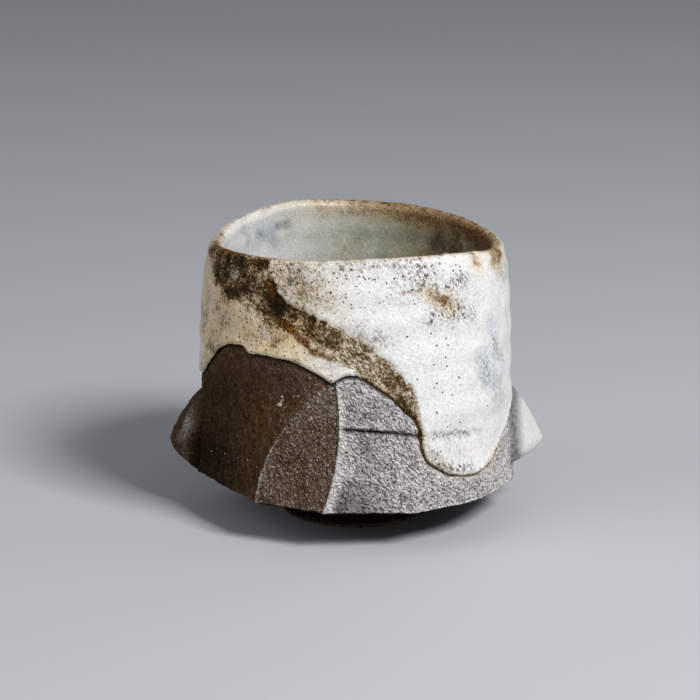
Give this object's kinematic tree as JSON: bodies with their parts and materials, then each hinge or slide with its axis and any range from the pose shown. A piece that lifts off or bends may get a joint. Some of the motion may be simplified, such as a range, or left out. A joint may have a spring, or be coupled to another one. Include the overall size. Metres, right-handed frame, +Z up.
{
  "type": "guinomi sake cup",
  "caption": "Small hand-thrown stoneware sake cup with a knife-cut bare hip, side lugs, a low foot ring and a white glaze poured over an uneven lip.",
  "frame": {"origin": "centre of the foot ring on the plane the cup stands on", "axes": "+Z up out of the mouth, +X from the left lug to the right lug, -Y towards the side with the cut facets and the run of glaze"},
  "size_m": [0.0775, 0.064, 0.0597],
  "materials": {
    "bare_clay": "unglazed grogged stoneware, torn rough by the knife",
    "white_glaze": "milky semi-gloss glaze with iron specks and pinholes, thin and brown at edges",
    "inner_glaze": "grey-green gloss glaze with bluish and rusty patches"
  },
  "bodies": {
    "root": {"clay_body": "bare_clay", "foot_ring": "bare_clay", "left_lug": "bare_clay", "right_lug": "bare_clay", "right_lug_glaze": "white_glaze", "outer_glaze": "white_glaze", "inner_glaze": "inner_glaze"}
  },
  "joints": []
}
